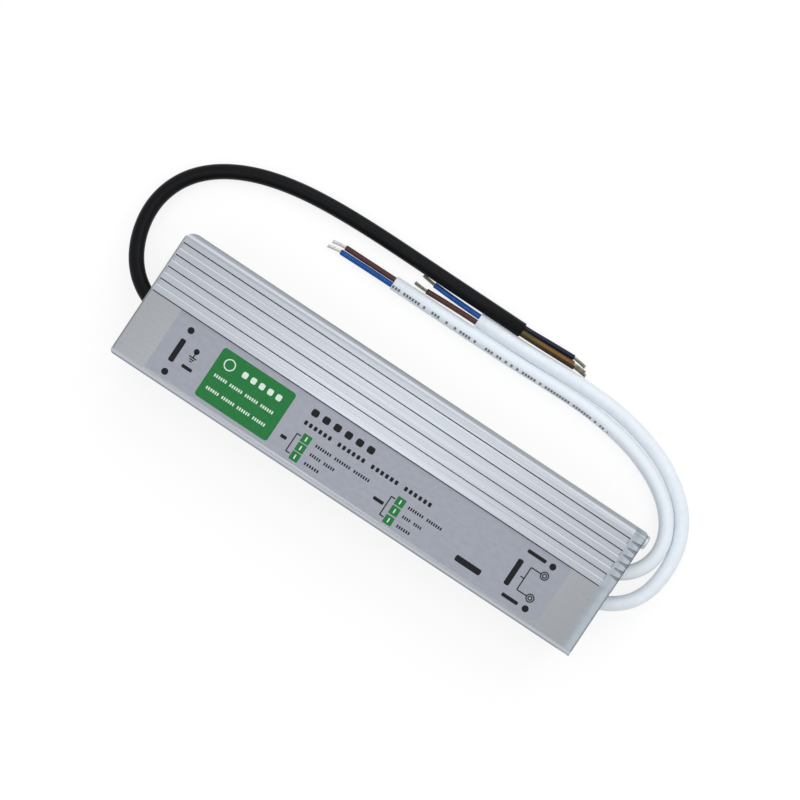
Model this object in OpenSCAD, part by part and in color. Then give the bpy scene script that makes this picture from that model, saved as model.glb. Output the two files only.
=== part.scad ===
// Sealed LED driver: a ribbed aluminium housing closed by two end caps, with a three-core
// mains lead at one end, two two-core output leads at the other and the converter inside.
// Millimetres. The origin is the centre of the base, +X points to the output end,
// +Y to the ribbed far side and +Z up.

/* [Housing] */
// Length over both end caps, without the screw heads
body_l = 203; // [190:1:240]
// Width of the housing
body_w = 54; // [52:0.5:60]
// Height of the housing to the rib tops
body_h = 37; // [36:0.5:44]
// Thickness of the side walls
wall_t = 2.6; // [2.2:0.1:3.2]
// Thickness of the base
base_t = 2.6; // [2:0.1:3.2]
// Thickness of the top wall below the grooves
top_t = 2.4; // [1.8:0.1:3]
// Radius of the near top edge
near_edge_r = 2.2; // [1.4:0.1:3]
// Radius of the far top edge
far_edge_r = 3.5; // [2:0.1:4.5]
// Radius of the two bottom edges
bottom_edge_r = 1.5; // [1.3:0.1:2.5]

/* [Ribs and label] */
// Width of the flat label panel on the near side
panel_w = 28.1; // [27:0.1:29]
// Depth of the grooves and of the label panel
groove_d = 1; // [0.6:0.1:1.2]
// Width of one groove in the top
groove_w = 2.6; // [1.8:0.1:2.9]
// Width of one rib between two grooves
rib_w = 2.6; // [1.8:0.1:2.9]
// Width of the chamfer on each groove's near edge
groove_chamfer = 0.45; // [0.2:0.05:0.6]
// Depth of that chamfer
groove_chamfer_d = 0.25; // [0.1:0.05:0.4]
// Width of the narrow relief at the foot of each rib's near flank
relief_w = 0.4; // [0.3:0.05:0.4]
// Depth of that relief
relief_d = 0.6; // [0.3:0.1:0.8]
// Number of grooves in the top
groove_count = 4; // [2:1:4]
// Number of grooves in each side
side_groove_count = 4; // [2:1:4]
// Height of the lowest side groove's lower edge
side_groove_z = 7; // [5:0.5:9]
// Width of the label film
label_w = 24.9; // [20:0.1:25.2]
// Distance from the input end to the label film
label_in = 14; // [8:0.5:30]
// Distance from the label film to the output end
label_out = 16.8; // [8:0.2:30]
// Thickness of the label film
label_t = 0.2; // [0.1:0.05:0.4]
// Distance from the first rib to the label film
label_gap = 0.4; // [0.2:0.1:1]

/* [End caps] */
// Thickness of the input cap's flange
input_cap_t = 5; // [4.8:0.1:7]
// Thickness of the output cap's flange
output_cap_t = 5; // [4:0.5:7]
// Thickness of the input cap's lip, which closes the grooves
input_lip_t = 1; // [0.6:0.1:1.5]
// Radius of the input cap's far corner, seen from above
far_corner_r = 4.5; // [3:0.1:4.5]
// Radius of the input cap's near corner, seen from above
near_corner_r = 1.8; // [1:0.1:3]
// Radius of the output cap's far corner, seen from above
output_corner_r = 1.6; // [1:0.1:2]
// Radius of the caps' outer top edge
cap_edge_r = 0.8; // [0.4:0.1:1.2]
// Depth of the recess that the leads come out of
recess_d = 10.5; // [9:0.5:13]
// Width of the recess
recess_w = 30; // [28:0.5:32]
// Height of the recess
recess_h = 18; // [16:0.5:20]
// Corner radius of the recess
recess_r = 4; // [3:0.5:6]
// Wall thickness round the recess
recess_wall = 1.8; // [1.4:0.1:2.4]
// Thickness of the recess floor
recess_floor_t = 2.5; // [2:0.1:3.5]
// Thickness of the sheet gaskets
gasket_t = 0.8; // [0.5:0.1:1.2]
// Width of the flange's lip round the gasket
gasket_lip = 1.2; // [1.2:0.1:1.4]
// Number of flutes in the output cap's top edge
flute_count = 6; // [3:1:6]
// Distance between two flutes
flute_pitch = 2.95; // [2.4:0.05:3.1]
// Radius of one flute at its wide end
flute_r = 0.8; // [0.5:0.05:1]
// Radius of one flute at its narrow end
flute_end_r = 0.2; // [0.1:0.05:0.4]
// Distance from the label panel to the first flute
flute_start = 5.5; // [5:0.1:8]

/* [Cap screws] */
// Diameter of the cap screws
screw_d = 3; // [2.5:0.1:3.2]
// Length of the cap screws under the head
screw_l = 12; // [10:0.5:20]
// Diameter of the screw heads
screw_head_d = 5.5; // [5:0.1:5.8]
// Height of the screw heads
screw_head_h = 1.5; // [1:0.1:2]
// Depth of the pockets that sink the heads into the input cap
input_head_in = 3.2; // [2.6:0.1:3.2]
// Distance from the screws to the side of the housing
screw_side = 3.4; // [3.3:0.1:3.6]
// Distance from the upper far screw to the rib tops
screw_top = 4.2; // [4:0.1:4.4]
// Height of the lower screws
screw_bottom = 3.4; // [3.3:0.1:3.6]
// Height of the upper near screw
screw_near_z = 22; // [20:0.5:24]
// Radius of the screw channels' walls
boss_r = 3; // [2.6:0.1:3.2]

/* [Leads] */
// Diameter of the mains lead
input_cable_d = 6; // [5.6:0.1:6.2]
// Diameter of each output lead
output_cable_d = 5.8; // [5.4:0.1:5.8]
// Diameter of an insulated core
core_d = 2.2; // [1.8:0.1:2.2]
// Diameter of a bare strand tip
tip_d = 1.2; // [0.9:0.1:1.4]
// Height of the leads where they leave the caps
gland_z = 15; // [14.5:0.5:16]
// Place of the mains lead across the input cap
input_gland_y = -4.5; // [-7:0.5:-2]
// Distance between the two output leads
output_gland_pitch = 12; // [11.5:0.5:14]
// Diameter of a gland's flange
gland_flange_d = 10; // [9:0.1:11]
// Thickness of a gland's flange
gland_flange_t = 1.5; // [1:0.1:2]
// Diameter of a gland's neck
gland_neck_d = 7.6; // [7:0.1:8]
// Diameter of the mains gland's bell mouth
bell_d = 14; // [13.8:0.1:14.6]
// Wall thickness of the bell mouth
bell_t = 0.6; // [0.5:0.1:0.8]
// Distance that the bell mouth stands out of the input cap
bell_out = 1.5; // [1:0.1:3]
// Width across the flats of a gland nut
nut_af = 10; // [9.2:0.1:11]
// Thickness of a gland nut
nut_t = 3; // [2:0.1:4]
// Diameter of a lead inside the housing
lead_d = 1.8; // [1.4:0.1:2]

/* [Circuit board] */
// Thickness of the circuit board
board_t = 1.6; // [1.2:0.1:2]
// Height of the circuit board's underside
board_z = 8; // [7.5:0.1:9]
// Thickness of the slot lips that hold the board
lip_t = 1.2; // [0.8:0.1:1.4]
// Depth of the slot lips
lip_d = 1.8; // [1.4:0.1:2.2]
// Free board at each end, where the leads are soldered
lead_zone = 9; // [8:0.5:10]
// Place of the middle row of parts across the board
lane_y = -4; // [-4.5:0.1:-3]
// Distance from the board's far edge to the far row of parts
far_lane_in = 9.6; // [8.6:0.1:10]
// Gap between the bulk capacitor and the small capacitors beside it
near_lane_gap = 0.8; // [0.5:0.1:1.2]

/* [Parts on the board] */
// Length of the fuse
fuse_l = 20; // [15:0.5:22]
// Diameter of the fuse's end caps
fuse_d = 5.2; // [4.5:0.1:5.5]
// Length of one fuse clip
clip_l = 4; // [3:0.5:5]
// Sheet thickness of the fuse clips
clip_t = 0.8; // [0.5:0.1:1]
// Diameter of the varistor disc
varistor_d = 9; // [7:0.5:9.5]
// Thickness of the varistor disc
varistor_t = 4; // [3:0.5:5]
// Diameter of the thermistor disc
thermistor_d = 9; // [7:0.5:9.5]
// Thickness of the thermistor disc
thermistor_t = 5; // [4:0.5:6]
// Diameter of the small safety capacitors
y_cap_d = 7; // [6:0.5:8]
// Thickness of the small safety capacitors
y_cap_t = 3.4; // [3:0.1:3.6]
// Width of the film capacitor across the board
x_cap_w = 18; // [15:0.5:19]
// Thickness of the film capacitor
x_cap_t = 8.5; // [7:0.5:10]
// Height of the film capacitor
x_cap_h = 14; // [12:0.5:16]
// Outer diameter of the line choke's ferrite ring
choke_d = 18; // [16:0.5:19]
// Height of the line choke's ferrite ring
choke_h = 8; // [7:0.5:10]
// Outer diameter of the output inductor's ring
inductor_d = 16; // [14:0.5:18]
// Height of the output inductor's ring
inductor_h = 7; // [6:0.5:9]
// Thickness of the copper windings on the rings
winding_t = 1.4; // [1:0.1:1.6]
// Radial width of the two rings
ring_w = 4; // [3.5:0.1:4.5]
// Diameter of the bulk capacitor
bulk_d = 18; // [16:0.5:19]
// Diameter of the output capacitors
output_cap_d = 9; // [8:0.5:10]
// Height of the output capacitors
output_cap_h = 16; // [12:0.5:18]
// Gap between two output capacitors
output_cap_gap = 1; // [0.5:0.1:1.5]
// Length of the transformer core along the board
core_l = 28; // [26:0.5:30]
// Width of the transformer core across the board
core_w = 28; // [27:0.5:29]
// Height of the transformer core
core_h = 10; // [8:0.5:11]
// Thickness of the core's end yokes
yoke_t = 5; // [4:0.5:6]
// Width of the core's middle leg
leg_w = 9; // [8:0.5:10]
// Wall thickness of the transformer bobbin
bobbin_t = 1.2; // [0.8:0.1:1.5]

/* [Power devices] */
// Width of a transistor or output rectifier
device_w = 10.4; // [9:0.1:11]
// Thickness of a transistor or output rectifier
device_t = 4.5; // [4:0.1:4.8]
// Height of a device's metal tab above its plastic body
tab_free = 6.6; // [6.2:0.1:7]
// Thickness of the metal tab
tab_t = 1.3; // [1:0.1:1.5]
// Height of the legs under the devices
leg_h = 3.5; // [3:0.1:4]
// Thickness of a device leg
leg_t = 0.7; // [0.5:0.1:0.8]
// Width of the bridge rectifier
bridge_w = 22; // [20:0.5:23]
// Thickness of the bridge rectifier
bridge_t = 3.6; // [3:0.1:4.5]
// Gap between neighbouring devices
device_gap = 5; // [4:0.5:5.5]
// Thickness of the heat spreader bar
spreader_t = 4; // [3:0.5:4.5]
// Length of the control chip
chip_l = 10; // [8:0.5:12]
// Width of the control chip and of the optocouplers
chip_w = 6; // [5:0.5:7]
// Height of the control chip and of the optocouplers
chip_h = 2; // [1.5:0.1:2.5]
// Length of one optocoupler
coupler_l = 4.6; // [4:0.1:5]

/* [Fits] */
// Clearance of the screws in the screw channels
thread_fit = 0.1; // [0.05:0.05:0.2]
// Clearance of the screws in the caps, the gaskets and the device tabs
hole_fit = 0.4; // [0.2:0.1:0.6]
// Clearance of the gland necks in the caps and the nuts
gland_fit = 0.2; // [0.1:0.05:0.3]
// Clearance of the gaskets round the recess walls
gasket_fit = 0.2; // [0.1:0.1:0.4]
// Clearance of the board above and below in its slots
slot_fit = 0.1; // [0.05:0.05:0.2]
// Clearance at each side of the board
board_side_fit = 0.4; // [0.2:0.1:0.6]
// Clearance between the board and the glands' inner ends
board_end_fit = 1.5; // [1:0.5:3]
// Clearance between the ferrite cores and what is wound on them
core_fit = 0.15; // [0.1:0.05:0.3]
// Clearance of the fuse in its clips
clip_fit = 0.1; // [0.05:0.05:0.2]
// Clearance of the thermal pad above the slot lip
pad_fit = 0.3; // [0.1:0.1:0.5]
// Clearance above the bulk capacitor
bulk_fit = 2; // [1.5:0.1:3]
// Clearance above the transformer bobbin
bobbin_fit = 3; // [2:0.1:4]
// Clearance above the bridge rectifier
bridge_fit = 2.5; // [2:0.1:3.5]
// Clearance of the heat spreader under the screw channel
spreader_fit = 0.8; // [0.5:0.1:1.5]
// Distance from the top of a device's tab to the top of the heat spreader
tab_in = 0.3; // [0.1:0.1:1]

/* [Hidden] */
$fn = 48;
// Overshoot of every cut past the face that it opens
over = 1;

// Housing levels and ends
half_l = body_l / 2;
half_w = body_w / 2;
panel_z = body_h - groove_d;
panel_edge_y = panel_w - half_w;
tube_x = input_cap_t - half_l;
tube_l = body_l - input_cap_t - output_cap_t;
cavity_w = body_w - 2 * wall_t;
cavity_h = panel_z - top_t - base_t;
groove_pitch = groove_w + rib_w;

// Screw places in the housing's section
screw_places = [
    [half_w - screw_side, body_h - screw_top],
    [half_w - screw_side, screw_bottom],
    [screw_side - half_w, screw_near_z],
    [screw_side - half_w, screw_bottom],
];
screw_head_edge_r = 0.6;
cross_w = 0.8;
cross_l = 3;
cross_d = 0.8;

// Gland places across the caps, and depths measured inwards from a cap's outer face
input_gland_ys = [input_gland_y];
output_gland_ys = [output_gland_pitch / 2, -output_gland_pitch / 2];
gland_out = recess_d - gland_flange_t;
nut_in = recess_d + recess_floor_t;
gland_tail = 1;
gland_in = nut_in + nut_t + gland_tail;
gland_edge_r = 0.6;

// Circuit board, and the free height above it
board_w = cavity_w - 2 * board_side_fit;
board_x = gland_in + board_end_fit - half_l;
board_l = -2 * board_x;
board_top = board_z + board_t;
upper_lip_z = board_top + slot_fit;
lower_lip_z = board_z - slot_fit - lip_t;
headroom = base_t + cavity_h - board_top;
far_lane_y = board_w / 2 - far_lane_in;
near_lane_y = lane_y - bulk_d / 2 - near_lane_gap - y_cap_t / 2;

// Leads inside the housing
lead_pad_x = board_x + lead_zone / 2;
lead_run = 3;
lead_drop = 2;
input_lead_offsets = [-2.4, 0, 2.4];
output_lead_offsets = [-1.5, 1.5];

// Row of parts along the board, from the input end, spread evenly over its length
fuse_station = max(fuse_d + 2 * (clip_t + clip_fit), varistor_t);
film_station = max(x_cap_t, thermistor_t);
choke_outer_d = choke_d + 2 * (winding_t + core_fit);
inductor_outer_d = inductor_d + 2 * (winding_t + core_fit);
output_cap_pitch = output_cap_d + output_cap_gap;
output_cap_rows = 2;
station_l = [
    fuse_station,
    film_station,
    choke_outer_d,
    bulk_d,
    core_l,
    inductor_outer_d,
    output_cap_rows * output_cap_pitch,
];
station_n = len(station_l);
function sum_of(v, n) = n == 0 ? 0 : v[n - 1] + sum_of(v, n - 1);
part_gap = (board_l - 2 * lead_zone - sum_of(station_l, station_n)) / (station_n - 1);
function station_x(i) = board_x + lead_zone + sum_of(station_l, i) + i * part_gap + station_l[i] / 2;
fuse_x = station_x(0);
film_x = station_x(1);
choke_x = station_x(2);
bulk_x = station_x(3);
transformer_x = station_x(4);
inductor_x = station_x(5);
output_cap_x = station_x(6);
bulk_h = headroom - bulk_fit;
bobbin_h = headroom - bobbin_fit;
transformer_z = board_top + bobbin_h / 2;
fuse_cap_l = clip_l + 1;
fuse_cap_t = 0.25;
disc_leg_h = 2;
disc_edge_r = 0.8;
box_edge_r = 0.8;
can_edge_r = 1;
can_groove_z = 2;
can_groove_r = 0.5;
choke_span = 140;
inductor_span = 320;

// Transformer: windows in its core, and the bobbin's tube and flanges in them
window_l = core_l - 2 * yoke_t;
window_w = (core_w - 2 * leg_w) / 2;
window_y = leg_w / 2;
bobbin_l = window_l - 2 * core_fit;
bobbin_tube_w = leg_w + 2 * (core_fit + bobbin_t);
bobbin_tube_h = core_h + 2 * (core_fit + bobbin_t);
bobbin_flange_w = leg_w + 2 * (window_w - core_fit);

// Heat spreader and the devices on it, from the input end
pad_t = lip_d + pad_fit;
spreader_y = cavity_w / 2 - pad_t - spreader_t;
device_ws = [bridge_w, device_w, device_w, device_w, device_w];
device_n = len(device_ws);
spreader_x = choke_x - choke_outer_d / 2;
spreader_l = sum_of(device_ws, device_n) + (device_n + 1) * device_gap;
spreader_h = body_h - screw_top - boss_r - spreader_fit - board_top;
tab_h = spreader_h - leg_h - tab_in;
device_h = tab_h - tab_free;
bridge_h = headroom - leg_h - bridge_fit;
function device_x(i) = spreader_x + sum_of(device_ws, i) + (i + 1) * device_gap + device_ws[i] / 2;
device_hole_z = board_top + leg_h + device_h + tab_free / 2;
bridge_hole_z = board_top + leg_h + bridge_h / 2;
device_leg_pitch = 2.54;
bridge_leg_pitch = 5.08;
// Height of the fixing hole and thickness under the screw head of each device
function hole_z(i) = i == 0 ? bridge_hole_z : device_hole_z;
function clamp_t(i) = i == 0 ? bridge_t : tab_t;

// Lead routes: control points of a smooth curve and the jacket's cut end, as steps from the gland's
// outer face along the cap's outward direction and across it, and the height above the floor
input_route = [
    [1, 0, 15], [4.8, 0.1, 15], [9.8, 1.1, 14.8], [15.2, 3.6, 14.1], [20.7, 7.8, 13], [25.7, 14.6, 11.3],
    [29.1, 23.2, 8.9], [30.3, 32.3, 7], [28.7, 41.3, 5.1], [24.6, 49.2, 4], [17.9, 56, 3.1],
    [9.5, 61.1, 3], [0, 64.9, 3], [-11.1, 67.6, 3], [-22.8, 69.2, 3], [-37, 70.1, 3],
    [-53, 70.4, 3], [-73, 70.3, 3], [-93, 70.3, 3], [-114.7, 70.3, 3],
];
far_route = [
    [1, 0, 15], [4.4, 0.2, 15], [8.4, 1.4, 14.8], [12.6, 3.8, 14.2], [16.4, 7.6, 13.3], [18.9, 12.6, 12],
    [19.8, 18.4, 10.2], [18.6, 24.5, 8.3], [15.1, 30.8, 6.4], [9.1, 36.6, 4.7], [1.1, 41.3, 3.5],
    [-9.3, 45.2, 3], [-21.1, 47.5, 2.9], [-33.8, 48.7, 2.9], [-47.8, 48.6, 2.9], [-69.8, 47.8, 2.9],
    [-95.8, 47.7, 2.9], [-121.8, 47.7, 2.9],
];
near_route = [
    [1, 0, 15], [4.8, 0, 15], [9.9, 0.9, 14.8], [15.5, 3.6, 14.4], [20.9, 8.3, 13.5], [24.5, 15.1, 12.2],
    [25.9, 23.1, 10.4], [25.8, 31.7, 8.6], [23.8, 39.8, 6.8], [19.4, 47.4, 5.1], [12.5, 53.7, 3.9],
    [3.6, 59.3, 3.1], [-7.2, 63.2, 2.9], [-19.7, 65.9, 2.9], [-33.6, 66.9, 2.9], [-49.6, 66.5, 2.9],
    [-62, 65.9, 2.9], [-74, 65.8, 2.9], [-86.8, 65.8, 2.9],
];
// Core routes: steps from the jacket's cut end along the lead and across it, and heights
input_neutral_route = [[0, 1.25, 2.3], [3, 1.25, 2.3], [12.5, 1.9, 1.2], [22.5, 2.3, 1.1]];
input_earth_route = [[0, -0.75, 4.45], [3, -0.75, 4.45], [12.5, -0.35, 3.4], [23.5, 0.1, 3.25]];
input_live_route = [[0, -1.25, 2.3], [3, -1.25, 2.3], [12.5, -1, 1.2], [24.5, -0.7, 1.1]];
far_positive_route = [[0, 1.15, 2.9], [3, 1.15, 2.9], [12, 1.15, 1.4], [23, 1.1, 1.1]];
far_negative_route = [[0, -1.15, 2.9], [3, -1.15, 2.9], [12, -1.15, 1.4], [23.7, -1.3, 1.1]];
near_negative_route = [[0, 1.25, 2.9], [3, 1.25, 2.9], [12, 1.5, 1.4], [21.5, 2, 1.1]];
near_positive_route = [[0, -1.25, 2.9], [3, -1.25, 2.9], [12, -1.3, 1.4], [22.7, -1.7, 1.1]];
// Bare strands past each core's end: length, straight start, and how far they splay across
tip_l = 5.5;
tip_start = 1.5;
neutral_splay = -0.9;
earth_splay = -0.6;
live_splay = -0.6;
far_splay = -0.7;
near_splay = 0.5;
cable_sides = 10;
core_sides = 8;

// Route points in the part's frame, for a lead that leaves in the direction dir along X
function exit_point(dir, y) = [dir * (half_l - gland_out), y, gland_z];
function placed(dir, y, p) = [dir * (half_l - gland_out + p[0]), y + p[1], p[2]];
function lead_path(dir, y, route) = concat(
    [exit_point(dir, y)],
    spline([for (i = [0:len(route) - 2]) placed(dir, y, route[i])]),
    [placed(dir, y, last(route))]
);
// Uniform cubic spline that starts and ends at the first and last control points, with one
// point at each of them and one half-way to the next
function at(p, i) = i < 0 ? 2 * p[0] - p[1] : i < len(p) ? p[i] : 2 * last(p) - p[len(p) - 2];
function knot(p, i) = (at(p, i - 1) + 4 * at(p, i) + at(p, i + 1)) / 6;
function midway(p, i) = (at(p, i - 1) + 23 * at(p, i) + 23 * at(p, i + 1) + at(p, i + 2)) / 48;
function spline(p) = concat([for (i = [0:len(p) - 2]) each [knot(p, i), midway(p, i)]], [last(p)]);
function core_path(end, dir, route) = [for (p = route) [end[0] + dir * p[0], end[1] + p[1], p[2]]];
function last(v) = v[len(v) - 1];
function unit(v) = v / norm(v);
function end_dir(path) = unit(last(path) - path[len(path) - 2]);
function tip_path(path, splay) = [
    last(path),
    last(path) + tip_start * end_dir(path),
    last(path) + tip_l * end_dir(path) + [0, splay, 0],
];
input_path = lead_path(-1, input_gland_y, input_route);
far_path = lead_path(1, output_gland_ys[0], far_route);
near_path = lead_path(1, output_gland_ys[1], near_route);
input_neutral_path = core_path(last(input_path), 1, input_neutral_route);
input_earth_path = core_path(last(input_path), 1, input_earth_route);
input_live_path = core_path(last(input_path), 1, input_live_route);
far_positive_path = core_path(last(far_path), -1, far_positive_route);
far_negative_path = core_path(last(far_path), -1, far_negative_route);
near_negative_path = core_path(last(near_path), -1, near_negative_route);
near_positive_path = core_path(last(near_path), -1, near_positive_route);

// Colours
metal_silver = "#c0c2cb";
cap_silver = "#c4cad0";
film_grey = "#9a9ca8";
jacket_black = "#1b1c1f";
jacket_white = "#e8eaf2";
core_brown = "#5e3a36";
core_blue = "#2f56a0";
core_earth = "#a08a3a";
strand_silver = "#8d8d88";
rubber_black = "#232427";
steel_dark = "#6d7072";
board_green = "#2f6b45";
ferrite_grey = "#3a3b3e";
copper = "#b8713c";
resin_black = "#1f2022";
fuse_glass = "#cfd3d6";
clip_brass = "#b9a46a";
varistor_blue = "#3f5d8c";
thermistor_green = "#3c4a3c";
y_cap_blue = "#7d9bb5";
film_box_yellow = "#c9b26a";
can_sleeve = "#2b2d33";
bobbin_black = "#2a2b2d";
tape_yellow = "#d8c24a";
bar_silver = "#b4b8bc";
pad_blue = "#8fa3b8";

// Extrudes a section drawn in Y and Z along X
module along_x(x, l) {
    translate([x, 0, 0]) rotate([90, 0, 90]) linear_extrude(height = l) children();
}

// Places a cap's pieces, drawn inwards from its outer face, at the input or output end
module at_input() {
    translate([-half_l, 0, 0]) children();
}
module at_output() {
    translate([half_l, 0, 0]) mirror([1, 0, 0]) children();
}

// Half of the housing's outline, from the split outwards, with a rounded top and bottom edge
module half_block(w, h, top_r, bottom_r) {
    translate([0, bottom_r]) square([w, h - top_r - bottom_r]);
    square([w - bottom_r, 2 * bottom_r]);
    translate([w - bottom_r, bottom_r]) circle(bottom_r);
    translate([0, h - 2 * top_r]) square([w - top_r, 2 * top_r]);
    translate([w - top_r, h - top_r]) circle(top_r);
}

// Outline of the housing's section, moved inwards by an inset
module case_outline(inset = 0) {
    split = panel_edge_y + inset;
    translate([split, inset])
        half_block(half_w - inset - split, body_h - 2 * inset, far_edge_r - inset, bottom_edge_r - inset);
    translate([split, inset]) mirror([1, 0])
        half_block(half_w - inset + split, panel_z - 2 * inset, near_edge_r - inset, bottom_edge_r - inset);
}

// Section of one groove: a chamfered near edge, a flat floor and a relief under the far flank
module groove_section() {
    polygon([
        [0, 0],
        [groove_w - relief_w, 0],
        [groove_w - relief_w, -relief_d],
        [groove_w, -relief_d],
        [groove_w, groove_d + over],
        [-groove_chamfer, groove_d + over],
        [-groove_chamfer, groove_d],
        [0, groove_d - groove_chamfer_d],
    ]);
}

// Cooling grooves in the far half of the top, and the relief beside the label panel
module top_grooves() {
    for (i = [0:groove_count - 1])
        translate([panel_edge_y + rib_w + i * groove_pitch, panel_z]) groove_section();
    translate([panel_edge_y - relief_w, panel_z - relief_d]) square([relief_w, relief_d + over]);
}

// Cooling grooves in both sides
module side_grooves() {
    for (side = [0, 1], i = [0:side_groove_count - 1])
        mirror([side, 0]) translate([half_w - groove_d, side_groove_z + i * groove_pitch])
            square([groove_d + over, groove_w]);
}

// Inside of the housing, less the screw channels' walls and the board's slot lips
module cavity_outline() {
    difference() {
        translate([-cavity_w / 2, base_t]) square([cavity_w, cavity_h]);
        for (p = screw_places) translate(p) circle(boss_r);
        for (side = [0, 1], z = [lower_lip_z, upper_lip_z])
            mirror([side, 0]) translate([cavity_w / 2 - lip_d, z]) square([lip_d + over, lip_t]);
    }
}

// Round holes along X at the screw places
module screw_holes(d, x, l) {
    for (p = screw_places) translate([x, p[0], p[1]]) rotate([0, 90, 0]) cylinder(d = d, h = l);
}

module housing() {
    color(metal_silver) difference() {
        along_x(tube_x, tube_l) difference() {
            case_outline();
            top_grooves();
            side_grooves();
            cavity_outline();
        }
        screw_holes(screw_d + thread_fit, tube_x - over, tube_l + 2 * over);
    }
}

// Outline of the recess for the leads, widened by its wall or a clearance
module recess_outline(grow = 0) {
    w = recess_w + 2 * grow;
    h = recess_h + 2 * grow;
    r = recess_r + grow;
    translate([0, gland_z]) {
        square([w - 2 * r, h], center = true);
        square([w, h - 2 * r], center = true);
        for (y = [-1, 1], z = [-1, 1]) translate([y * (w / 2 - r), z * (h / 2 - r)]) circle(r);
    }
}

// Outline of the gasket and its pocket, kept below the grooves and round the recess
module seal_outline(recess_grow) {
    difference() {
        case_outline(gasket_lip);
        translate([panel_edge_y - over, panel_z - gasket_lip]) square([half_w + over, body_h]);
        recess_outline(recess_grow);
    }
}

// Waste outside a rounded corner whose tip is at the origin
module corner_waste(r) {
    difference() {
        translate([-over, -r]) square([r + over, r + over]);
        translate([r, -r]) circle(r);
    }
}

// Rounds the outer top edge of a cap between two places across it
module top_edge_cut(y_from, y_to, z) {
    translate([0, y_to, z]) rotate([90, 0, 0])
        linear_extrude(height = y_to - y_from) corner_waste(cap_edge_r);
}

// Rounds an upright corner of a cap
module upright_corner_cut(r) {
    translate([0, 0, -over]) linear_extrude(height = body_h + 2 * over) corner_waste(r);
}

// Flange over the housing's end, with a recessed floor that carries the glands
module end_cap(flange_t, gland_ys) {
    difference() {
        union() {
            along_x(0, flange_t) case_outline();
            along_x(flange_t / 2, recess_d + recess_floor_t - flange_t / 2) recess_outline(recess_wall);
        }
        along_x(-over, recess_d + over) recess_outline();
        along_x(flange_t - gasket_t, gasket_t + over) seal_outline(recess_wall);
        screw_holes(screw_d + hole_fit, -over, flange_t + 2 * over);
        for (y = gland_ys) translate([recess_d - over, y, gland_z]) rotate([0, 90, 0])
            cylinder(d = gland_neck_d + gland_fit, h = recess_floor_t + 2 * over);
        top_edge_cut(-half_w - over, panel_edge_y, panel_z);
        top_edge_cut(panel_edge_y, half_w + over, body_h);
    }
}

// The input cap carries the ribs on to its lip, has rounded corners and sinks its screw heads
module input_end_cap() {
    color(cap_silver) at_input() difference() {
        end_cap(input_cap_t, input_gland_ys);
        along_x(input_lip_t, input_cap_t - input_lip_t + over) top_grooves();
        translate([0, half_w, 0]) upright_corner_cut(far_corner_r);
        translate([0, -half_w, 0]) mirror([0, 1, 0]) upright_corner_cut(near_corner_r);
        screw_holes(screw_head_d + hole_fit, -over, input_head_in + over);
    }
}

// The output cap has a rounded far corner, and tapered flutes across its top edge
module output_end_cap() {
    flute_l = output_cap_t - gasket_t;
    color(cap_silver) at_output() difference() {
        end_cap(output_cap_t, output_gland_ys);
        translate([0, half_w, 0]) upright_corner_cut(output_corner_r);
        for (i = [0:flute_count - 1])
            translate([-over, panel_edge_y + flute_start + i * flute_pitch, body_h]) rotate([0, 90, 0])
                cylinder(r1 = flute_r, r2 = flute_end_r, h = flute_l + over);
    }
}

// Sheet gasket in the flange's pocket, pressed against the housing's end
module gasket(flange_t) {
    difference() {
        along_x(flange_t - gasket_t, gasket_t) seal_outline(recess_wall + gasket_fit);
        screw_holes(screw_d + hole_fit, flange_t - gasket_t - over, gasket_t + 2 * over);
    }
}

module input_gasket() {
    color(rubber_black) at_input() gasket(input_cap_t);
}

module output_gasket() {
    color(rubber_black) at_output() gasket(output_cap_t);
}

// Disc with a rounded rim at its upper end, built upwards
module rounded_disc(d, h, edge_r) {
    rotate_extrude() {
        square([d / 2 - edge_r, h]);
        square([d / 2, h - edge_r]);
        translate([d / 2 - edge_r, h - edge_r]) intersection() {
            circle(edge_r);
            square(edge_r);
        }
    }
}

// Pan-head screw with a cross recess, head upwards and shank downwards
module pan_screw(length) {
    difference() {
        rounded_disc(screw_head_d, screw_head_h, screw_head_edge_r);
        for (turn = [0, 90]) rotate(turn)
            translate([-cross_l / 2, -cross_w / 2, screw_head_h - cross_d])
                cube([cross_l, cross_w, cross_d + over]);
    }
    translate([0, 0, -length]) cylinder(d = screw_d, h = length + screw_head_h - cross_d - over / 2);
}

module cap_screws() {
    for (p = screw_places) translate([0, p[0], p[1]]) rotate([0, -90, 0]) pan_screw(screw_l);
}

module input_cap_screws() {
    color(steel_dark) at_input() translate([input_head_in, 0, 0]) cap_screws();
}

module output_cap_screws() {
    color(steel_dark) at_output() cap_screws();
}

module label_film() {
    color(film_grey) translate([label_in - half_l, panel_edge_y - label_gap - label_w, panel_z])
        cube([body_l - label_in - label_out, label_w, label_t]);
}

// Moulded gland: a flange against the recess floor and a neck through it
module gland(y) {
    translate([recess_d, y, gland_z]) {
        rotate([0, -90, 0]) rounded_disc(gland_flange_d, gland_flange_t, gland_edge_r);
        rotate([0, 90, 0]) cylinder(d = gland_neck_d, h = gland_in - recess_d);
    }
}

// Bell mouth on the mains gland, which keeps the lead from kinking
module bell_mouth() {
    bell_l = gland_out + bell_out;
    root_r = gland_flange_d / 2 - gland_edge_r;
    translate([gland_out, input_gland_y, gland_z]) rotate([0, -90, 0]) rotate_extrude()
        polygon([
            [root_r - bell_t, -gland_flange_t / 2],
            [root_r, -gland_flange_t / 2],
            [root_r, 0],
            [bell_d / 2, bell_l],
            [bell_d / 2 - bell_t, bell_l],
            [root_r - bell_t, 0],
        ]);
}

module input_gland() {
    color(rubber_black) {
        at_input() gland(input_gland_y);
        at_input() bell_mouth();
    }
}

module output_gland_far() {
    color(jacket_white) at_output() gland(output_gland_ys[0]);
}

module output_gland_near() {
    color(jacket_white) at_output() gland(output_gland_ys[1]);
}

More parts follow.
